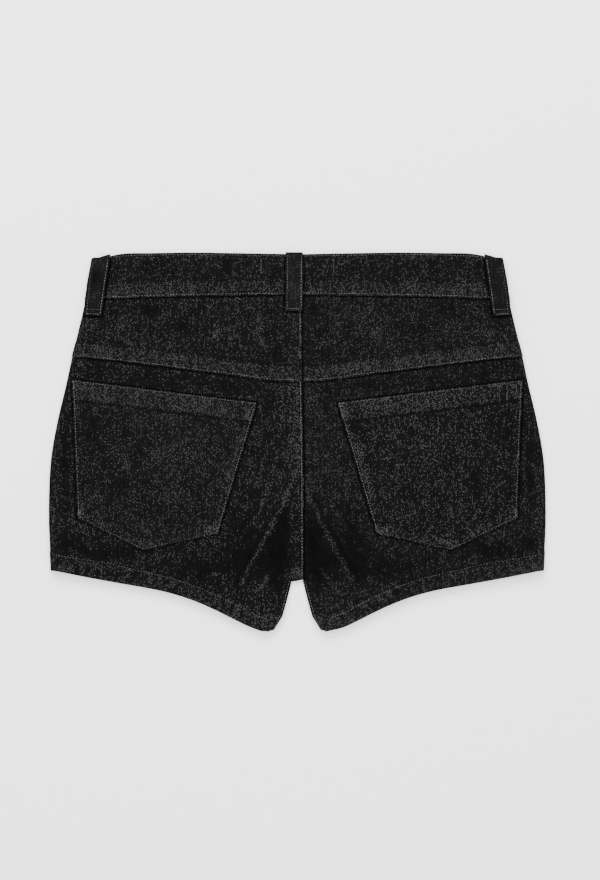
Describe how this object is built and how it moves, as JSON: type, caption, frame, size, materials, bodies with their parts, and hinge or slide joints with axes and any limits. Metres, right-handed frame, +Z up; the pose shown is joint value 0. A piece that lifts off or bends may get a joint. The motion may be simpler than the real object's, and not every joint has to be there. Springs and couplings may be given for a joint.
{
  "type": "denim shorts",
  "caption": "Short denim shorts laid flat on their front: waistband with belt loops, shaped back yoke, pointed patch pockets, wide leg openings with turned-up hems, button and zip fly.",
  "frame": {"origin": "on the table under the middle of the garment's bounding box", "axes": "+X across the garment towards the side on the right of the picture, +Y from the hems to the waist, +Z up from the table, towards the back of the garment"},
  "size_m": [0.4224, 0.3218, 0.0143],
  "materials": {
    "denim": "washed black denim with a fine grey twill fleck",
    "button_metal": "dark blackened metal, smooth",
    "zip_tape": "matt black woven tape"
  },
  "bodies": {
    "root": {"back_panel_left": "denim", "back_panel_right": "denim", "yoke_left": "denim", "yoke_right": "denim", "pocket_left": "denim", "pocket_right": "denim", "front_panel_left": "denim", "front_panel_right": "denim", "waistband": "denim", "belt_loop_centre": "denim", "belt_loop_left": "denim", "belt_loop_right": "denim", "belt_loop_front_left": "denim", "belt_loop_front_right": "denim", "button": "button_metal", "zip": "zip_tape"}
  },
  "joints": []
}
